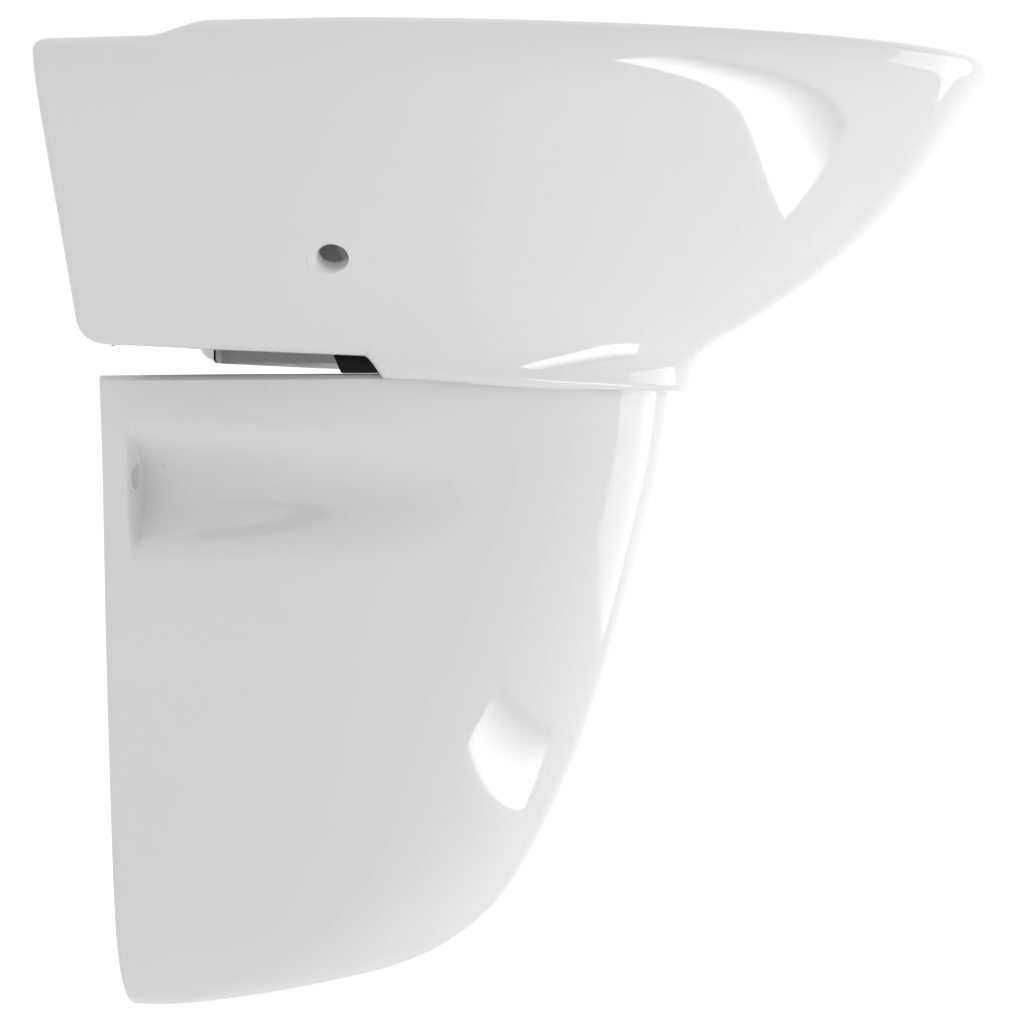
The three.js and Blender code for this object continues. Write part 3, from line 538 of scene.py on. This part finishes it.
def glaze_material(name, waviness):
    material = bpy.data.materials.new(name)
    material.use_nodes = True
    tree = material.node_tree
    surface = tree.nodes["Principled BSDF"]
    surface.inputs["IOR"].default_value = 1.52
    surface.inputs["Coat Weight"].default_value = 0.5
    surface.inputs["Coat Roughness"].default_value = 0.03
    place = tree.nodes.new("ShaderNodeTexCoord")
    skin = tree.nodes.new("ShaderNodeGroup")
    skin.node_tree = GLAZE_GROUP
    skin.inputs["Waviness"].default_value = waviness
    tree.links.new(place.outputs["Object"], skin.inputs["Coordinates"])
    tree.links.new(skin.outputs["Color"], surface.inputs["Base Color"])
    tree.links.new(skin.outputs["Roughness"], surface.inputs["Roughness"])
    tree.links.new(skin.outputs["Normal"], surface.inputs["Normal"])
    tree.links.new(skin.outputs["Normal"], surface.inputs["Coat Normal"])
    return material


basin = basin_piece()
glazed_china = glaze_material("glazed_china", 0.5)
basin.data.materials.clear()
basin.data.materials.append(glazed_china)
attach(basin, "fixed")
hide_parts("basin")


# ---------------------------------------------------------------- semi-pedestal
# A second casting in the same glazed china, open at the top and towards the wall, that hides
# the trap. Its front leans back in one long curve to a rounded foot. In each flank a finger
# pocket runs out to nothing forward; the flange at its wall end holds the fixing screw.

# Each row is a depth, how far the front reaches from the wall, and half the width at the wall.
PEDESTAL_ROWS = [
    (164, 283, 109), (206, 277, 102.5), (256, 265.5, 98), (307, 251.5, 93.5),
    (359, 233.5, 87), (411, 209, 80), (440, 190, 74.5), (459, 168, 69),
    (472, 143, 62), (484, 98, 51), (493, 44, 33), (497, 0, 0),
]
PEDESTAL_TOP = 164.0
PEDESTAL_FOOT = 497.0
PEDESTAL_WALL = 10.0
PEDESTAL_WIDEST = 0.46  # share of the reach at which the plan is widest
PEDESTAL_BROAD = 1.07  # how much wider it is there than at the wall
PEDESTAL_PLAN_POWER = 1.9
PEDESTAL_TURN = 126.0  # the flank's points stand evenly this far out from the wall
PEDESTAL_LIP = 4.0
POCKET_WALL = 9.0
POCKET_TOP = 187.0
POCKET_BOTTOM = 260.0
POCKET_FROM = 15.0
POCKET_FLOOR = 77.0
POCKET_FADE = 98.5
POCKET_TO = 186.0
POCKET_SLOPE = 19.0
POCKET_CORNER = 16.0
FLANGE_EDGE = 101.0
SCREW_HALF = 91.0
SCREW_DEPTH = 216.0


def pedestal_row(k):
    """Depth, reach and half width at the wall; a centripetal spline through the rows."""
    points = [Vector(row) for row in PEDESTAL_ROWS]
    p = (len(points) - 1) * k
    i = min(int(p), len(points) - 2)
    w = p - i
    p1, p2 = points[i], points[i + 1]
    p0 = points[i - 1] if i else p1 * 2 - p2
    p3 = points[i + 2] if i + 2 < len(points) else p2 * 2 - p1
    d0 = (p1 - p0).length ** 0.5
    d1 = (p2 - p1).length ** 0.5
    d2 = (p3 - p2).length ** 0.5
    t1 = ((p1 - p0) / d0 - (p2 - p0) / (d0 + d1) + (p2 - p1) / d1) * d1
    t2 = ((p2 - p1) / d1 - (p3 - p1) / (d1 + d2) + (p3 - p2) / d2) * d1
    return p1 + t1 * w + (3 * (p2 - p1) - 2 * t1 - t2) * w * w + (2 * (p1 - p2) + t1 + t2) * w ** 3


def smooth_min(a, b, width):
    h = max(width - abs(a - b), 0.0) / width
    return min(a, b) - h * h * width / 4


def pocket(x, y, d, grow):
    """Half width of the flank where the pocket is pressed in; grow moves it inwards and widens it."""
    knee, first_rise = POCKET_FROM + 40, 4.0
    share = min(1.0, y / (POCKET_TO - POCKET_FROM))
    floor = POCKET_FLOOR - grow + first_rise * min(1.0, max(0.0, (y - POCKET_FROM) / 40))
    floor += (POCKET_FADE - POCKET_FLOOR - first_rise) * max(0.0, (y - knee) / (POCKET_TO - knee))
    top = POCKET_TOP - grow + 6 * share
    low = POCKET_BOTTOM + grow - 4 * share
    pressed = smoothstep(top - 2, top + 2 * POCKET_SLOPE, d)
    pressed *= 1 - smoothstep(low - 2 * POCKET_SLOPE, low + 2, d)
    if grow == 0:
        flange = POCKET_FROM + 4 * min(1.0, max(0.0, (FLANGE_EDGE - x) / 27))
        pressed *= smoothstep(flange - 1.6, flange + 2.6, y)
    return x + (smooth_min(x, floor, POCKET_CORNER) - x) * pressed if pressed > 0 else x


def pedestal_row_points(d, reach, half, spans, grow, edge=2.0):
    """One level of a sheet, from the wall round to the front, then mirrored back to the wall."""
    widest, broad = PEDESTAL_WIDEST * reach, PEDESTAL_BROAD * half
    turn = PEDESTAL_TURN + (widest - PEDESTAL_TURN) * smoothstep(290, 420, d)
    right = []
    for kind, u in spans:
        y = u * turn if kind == "side" else turn + (reach - turn) * math.sin(u) ** (2 / PEDESTAL_PLAN_POWER)
        if y <= widest:
            x = half + (broad - half) * math.sin(y / max(widest, 1e-6) * math.pi / 2)
        else:
            s = min(1.0, (y - widest) / max(reach - widest, 1e-6))
            x = broad * math.sqrt(max(0.0, 1 - s ** PEDESTAL_PLAN_POWER))
        x = pocket(x, y, d, grow)
        if y < edge:
            x -= edge - math.sqrt(edge * edge - (edge - y) ** 2)
        right.append((x / 1000, -y / 1000, drop(d) / 1000))
    return right + [(-x, y, z) for x, y, z in reversed(right[:-1])]


def pedestal_piece():
    beside_wall = [0, 0.3, 0.9, 2, 4, 6.5, 9, 11.5, 13]
    flange_turn = [13.5 + i * 0.45 for i in range(16)]
    flank = [20.5 + i * 105.5 / 36 for i in range(1, 37)]
    spans = [("side", y / PEDESTAL_TURN) for y in beside_wall + flange_turn + flank]
    spans += [("front", math.radians(i * 90 / 58)) for i in range(1, 59)]
    spans[-1] = ("front", math.pi / 2)
    pocket_ends, lowest = 0.335, 0.99
    levels = [pocket_ends * i / 74 for i in range(75)]
    levels += [pocket_ends + (lowest - pocket_ends) * i / 54 for i in range(1, 55)]
    outer, inner = [], []
    _, top_reach, top_half = pedestal_row(0)
    for i in range(7):
        a = i / 7 * math.pi / 2
        tuck = PEDESTAL_LIP * (1 - math.sin(a))
        d = PEDESTAL_TOP + PEDESTAL_LIP * (1 - math.cos(a))
        outer.append(pedestal_row_points(d, top_reach - tuck, top_half - tuck, spans, 0))
        tuck = PEDESTAL_WALL - PEDESTAL_LIP * (1 - math.sin(a))
        inner.append(pedestal_row_points(d, top_reach - tuck, top_half - tuck, spans, 0, 0.5))
    for k in levels:
        d, reach, half = pedestal_row(k)
        if d < PEDESTAL_TOP + PEDESTAL_LIP + 0.2:
            continue
        outer.append(pedestal_row_points(d, reach, half, spans, 0))
        thin = PEDESTAL_WALL * (1 - 0.9 * smoothstep(0.8, 1, k))
        shallow = d - 11 * smoothstep(0, 0.6, k)
        inside = (max(reach - thin, 0), max(half - thin, 0))
        inner.append(pedestal_row_points(shallow, *inside, spans, POCKET_WALL, 0.5))
    count, deep = len(outer[0]), len(outer)
    vertices = [p for row in outer for p in row] + [p for row in inner for p in row]
    vertices += [(0, 0, drop(PEDESTAL_FOOT) / 1000), (0, 0, drop(PEDESTAL_FOOT - 11) / 1000)]
    out = lambda j, i: j * count + i
    inn = lambda j, i: (deep + j) * count + i
    out_pole, in_pole = len(vertices) - 2, len(vertices) - 1
    faces = []
    last = count - 1
    for i in range(last):
        for j in range(deep - 1):
            faces.append((out(j, i + 1), out(j + 1, i + 1), out(j + 1, i), out(j, i)))
            faces.append((inn(j + 1, i), inn(j + 1, i + 1), inn(j, i + 1), inn(j, i)))
        faces.append((inn(0, i), inn(0, i + 1), out(0, i + 1), out(0, i)))
        faces.append((out(deep - 1, i + 1), out_pole, out(deep - 1, i)))
        faces.append((in_pole, inn(deep - 1, i + 1), inn(deep - 1, i)))
    for j in range(deep - 1):
        faces.append((out(j + 1, 0), inn(j + 1, 0), inn(j, 0), out(j, 0)))
        faces.append((inn(j, last), inn(j + 1, last), out(j + 1, last), out(j, last)))
    faces.append((out_pole, in_pole, inn(deep - 1, 0), out(deep - 1, 0)))
    faces.append((inn(deep - 1, last), in_pole, out_pole, out(deep - 1, last)))
    piece = mesh_piece("china_semi_pedestal", vertices, faces)
    outwards(piece)
    screw = [(0, -30), (7.4, -30), (6.3, -14.5), (6.3, 2), (0, 2)]
    holes = []
    for side in (-1, 1):
        at = (side * SCREW_HALF / 1000, 0, drop(SCREW_DEPTH) / 1000)
        holes.append(placed(lathe(screw, 48), -90, 0, at))
    apply_boolean(piece, holes, "DIFFERENCE")
    outwards(piece)
    sharpen(piece, 34)
    return piece


pedestal = pedestal_piece()
pedestal.data.materials.clear()
pedestal.data.materials.append(glaze_material("glazed_china_pedestal", 0.7))
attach(pedestal, "fixed")
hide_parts("semi_pedestal")


# ---------------------------------------------------------------- buffers
# Two strips of black closed-cell foam rubber, pressed between the pedestal's top edge and the
# land under the basin's collar. Their rear ends are cut on a slant and show beside the apron.

def foam_material():
    material = bpy.data.materials.new("black_foam_rubber")
    material.use_nodes = True
    tree = material.node_tree
    surface = tree.nodes["Principled BSDF"]
    place = tree.nodes.new("ShaderNodeTexCoord")
    cells = tree.nodes.new("ShaderNodeTexVoronoi")
    cells.inputs["Scale"].default_value = 1400.0
    shade = tree.nodes.new("ShaderNodeMapRange")
    shade.inputs["To Min"].default_value = 0.006
    shade.inputs["To Max"].default_value = 0.02
    bump = tree.nodes.new("ShaderNodeBump")
    bump.inputs["Strength"].default_value = 0.5
    bump.inputs["Distance"].default_value = 0.0003
    tree.links.new(place.outputs["Object"], cells.inputs["Vector"])
    tree.links.new(cells.outputs["Distance"], shade.inputs["Value"])
    tree.links.new(shade.outputs["Result"], surface.inputs["Base Color"])
    tree.links.new(cells.outputs["Distance"], bump.inputs["Height"])
    tree.links.new(bump.outputs["Normal"], surface.inputs["Normal"])
    surface.inputs["Roughness"].default_value = 0.85
    surface.inputs["Specular IOR Level"].default_value = 0.25
    return material


BUFFER_THICK = 9.4
BUFFER_UNDER = 163.7
BUFFER_FROM = 127.0
BUFFER_TO = 165.0


def buffer_piece(name, side):
    _, reach, half = pedestal_row(0)

    def edge(y, inset):
        r, h = reach - inset, (half - inset) * PEDESTAL_BROAD
        k = (y - PEDESTAL_WIDEST * r) / (r - PEDESTAL_WIDEST * r)
        return h - 0.2 if k < 0 else h * math.sqrt(1 - k ** PEDESTAL_PLAN_POWER)

    loop = [(0, 0.14), (0, 0.86), (0.1, 1), (0.9, 1), (1, 0.86), (1, 0.14), (0.9, 0), (0.1, 0)]
    vertices, faces = [], []
    steps = 26
    for i in range(steps + 1):
        for across, up in loop:
            rear = BUFFER_FROM - 4 * up
            y = rear + (BUFFER_TO - rear) * i / steps
            x = edge(y, PEDESTAL_WALL - 0.8) * (1 - across) + edge(y, 0.8) * across
            vertices.append((side * x / 1000, -y / 1000, (drop(BUFFER_UNDER) + BUFFER_THICK * up) / 1000))
    for i in range(steps):
        for j in range(8):
            n = (j + 1) % 8
            faces.append((8 * i + j, 8 * i + 8 + j, 8 * i + 8 + n, 8 * i + n))
    faces += [tuple(range(8)), tuple(range(8 * steps, 8 * steps + 8))]
    piece = mesh_piece(name, vertices, faces, 50)
    outwards(piece)
    return piece


black_foam = foam_material()
for side, word in ((1, "right"), (-1, "left")):
    buffer = buffer_piece("foam_buffer_" + word, side)
    buffer.data.materials.append(black_foam)
    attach(buffer, "fixed")
    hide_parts("buffer_pad_" + word)


# ---------------------------------------------------------------- metal, plastic and seals
# The waste and its plug are chrome-plated brass, the trap is white polypropylene, the wall
# fixings are plated steel with plastic sleeves, and the seals are moulded dark rubber.

def plain_surface(name, tones, rough, metal, scale, bump_distance):
    """A material whose tone and roughness wander between two values with a fine noise."""
    material = bpy.data.materials.new(name)
    material.use_nodes = True
    tree = material.node_tree
    surface = tree.nodes["Principled BSDF"]
    place = tree.nodes.new("ShaderNodeTexCoord")
    noise = tree.nodes.new("ShaderNodeTexNoise")
    noise.inputs["Scale"].default_value = scale
    noise.inputs["Detail"].default_value = 4.0
    tint = tree.nodes.new("ShaderNodeMix")
    tint.data_type = "RGBA"
    tint.inputs["A"].default_value = tones[0] + (1,)
    tint.inputs["B"].default_value = tones[1] + (1,)
    dull = tree.nodes.new("ShaderNodeMapRange")
    dull.inputs["To Min"].default_value = rough[0]
    dull.inputs["To Max"].default_value = rough[1]
    bump = tree.nodes.new("ShaderNodeBump")
    bump.inputs["Strength"].default_value = 0.4
    bump.inputs["Distance"].default_value = bump_distance
    surface.inputs["Metallic"].default_value = metal
    link = tree.links.new
    link(place.outputs["Object"], noise.inputs["Vector"])
    link(noise.outputs["Fac"], tint.inputs["Factor"])
    link(noise.outputs["Fac"], dull.inputs["Value"])
    link(noise.outputs["Fac"], bump.inputs["Height"])
    link(tint.outputs["Result"], surface.inputs["Base Color"])
    link(dull.outputs["Result"], surface.inputs["Roughness"])
    link(bump.outputs["Normal"], surface.inputs["Normal"])
    return material


chrome = plain_surface(
    "chrome_plate", ((0.80, 0.81, 0.82), (0.86, 0.86, 0.87)), (0.04, 0.12), 1, 300, 0.00002)
steel = plain_surface(
    "plated_steel", ((0.50, 0.51, 0.52), (0.66, 0.66, 0.66)), (0.28, 0.45), 1, 500, 0.00008)
white_plastic = plain_surface(
    "white_polypropylene", ((0.74, 0.74, 0.72), (0.80, 0.80, 0.78)), (0.3, 0.45), 0, 220, 0.00006)
moulded_rubber = plain_surface(
    "moulded_rubber", ((0.018, 0.018, 0.017), (0.035, 0.034, 0.032)), (0.6, 0.8), 0, 700, 0.0001)
finishes = {
    "glaze": glazed_china, "rubber": black_foam, "chrome": chrome, "steel": steel,
    "plastic": white_plastic, "seal": moulded_rubber,
}
for part in record["subparts"]:
    node = nodes[part["node"]]
    node.data.materials.clear()
    node.data.materials.append(finishes[part["material_slot"]])


# ---------------------------------------------------------------- studio
# A plain white sweep behind and under the piece. Soft light comes from all round, from a broad
# panel ahead and to the right, from a weaker one overhead, and from a strip low in front that
# draws the highlights on the undercut china: sharp at its rear edge, fading forwards.

def white_sweep():
    """Floor and back wall in one curve; the paper glows a little more the higher it goes."""
    material = bpy.data.materials.new("white_sweep")
    material.use_nodes = True
    tree = material.node_tree
    surface = tree.nodes["Principled BSDF"]
    surface.inputs["Base Color"].default_value = (0.86, 0.86, 0.86, 1)
    surface.inputs["Roughness"].default_value = 0.9
    surface.inputs["Emission Color"].default_value = (1, 1, 1, 1)
    place = tree.nodes.new("ShaderNodeTexCoord")
    split = tree.nodes.new("ShaderNodeSeparateXYZ")
    rise = tree.nodes.new("ShaderNodeMapRange")
    rise.inputs["From Min"].default_value = -1.35
    rise.inputs["From Max"].default_value = -0.75
    rise.inputs["To Min"].default_value = 0.0
    rise.inputs["To Max"].default_value = 0.45
    tree.links.new(place.outputs["Object"], split.inputs["Vector"])
    tree.links.new(split.outputs["Z"], rise.inputs["Value"])
    tree.links.new(rise.outputs["Result"], surface.inputs["Emission Strength"])
    floor, bend_from, bend = -1.4, 1.8, 1.2
    profile = [(-4.0, floor), (bend_from, floor)]
    for i in range(1, 13):
        a = i / 12 * math.pi / 2
        profile.append((bend_from + bend * math.sin(a), floor + bend - bend * math.cos(a)))
    profile.append((bend_from + bend, 4.0))
    vertices, faces = [], []
    for reach, height in profile:
        for across in (-5.0, 5.0):
            vertices.append((reach, across, height))
    for i in range(len(profile) - 1):
        faces.append((2 * i, 2 * i + 1, 2 * i + 3, 2 * i + 2))
    sweep = mesh_piece("white_sweep", vertices, faces, 60)
    sweep.data.materials.append(material)
    return sweep


def strip_panel(name, near, far, left, right, height, strength):
    """A level strip that shines up, brightest near its sharp rear edge and fading forwards."""
    material = bpy.data.materials.new(name)
    material.use_nodes = True
    tree = material.node_tree
    tree.nodes.remove(tree.nodes["Principled BSDF"])
    place = tree.nodes.new("ShaderNodeTexCoord")
    split = tree.nodes.new("ShaderNodeSeparateXYZ")
    fade = tree.nodes.new("ShaderNodeMapRange")
    fade.interpolation_type = "SMOOTHSTEP"
    fade.inputs["From Min"].default_value = far
    fade.inputs["From Max"].default_value = near
    fade.inputs["To Min"].default_value = 0
    fade.inputs["To Max"].default_value = strength
    shine = tree.nodes.new("ShaderNodeEmission")
    tree.links.new(place.outputs["Object"], split.inputs["Vector"])
    tree.links.new(split.outputs["Y"], fade.inputs["Value"])
    tree.links.new(fade.outputs["Result"], shine.inputs["Strength"])
    tree.links.new(shine.outputs["Emission"], tree.nodes["Material Output"].inputs["Surface"])
    corners = [(left, near, height), (right, near, height), (right, far, height), (left, far, height)]
    panel = mesh_piece(name, corners, [(3, 2, 1, 0)])
    panel.data.materials.append(material)
    return panel


white_sweep()
strip_panel("low_strip", -0.92, -1.22, -0.62, 0.35, -0.77, 6.0)

world = bpy.data.worlds.new("studio")
world.use_nodes = True
world.node_tree.nodes["Background"].inputs["Color"].default_value = (1, 1, 1, 1)
world.node_tree.nodes["Background"].inputs["Strength"].default_value = 0.79
bpy.context.scene.world = world
bpy.context.scene.view_settings.view_transform = "Standard"


def soft_light(name, place, aim, width, height, power):
    light = bpy.data.lights.new(name, "AREA")
    light.shape = "RECTANGLE"
    light.size = width
    light.size_y = height
    light.energy = power
    lamp = bpy.data.objects.new(name, light)
    lamp.location = place
    lamp.rotation_euler = (Vector(aim) - Vector(place)).to_track_quat("-Z", "Y").to_euler()
    bpy.context.collection.objects.link(lamp)


soft_light("broad_front", (1.1, -2.3, -0.1), (0, -0.2, -0.1), 1.6, 1.6, 10)
soft_light("overhead", (-0.4, -0.6, 2.2), (0, -0.2, 0), 1.4, 1.4, 3)

camera = bpy.data.cameras.new("camera")
camera.lens = 152.9
camera.sensor_width = 36
viewer = bpy.data.objects.new("camera", camera)
middle = Vector((0, -0.198, -0.149))
azimuth = math.radians(278)
distance = 2.3
viewer.location = middle + distance * Vector((math.sin(azimuth), -math.cos(azimuth), 0))
viewer.rotation_euler = (middle - viewer.location).to_track_quat("-Z", "Y").to_euler()
bpy.context.collection.objects.link(viewer)
bpy.context.scene.camera = viewer
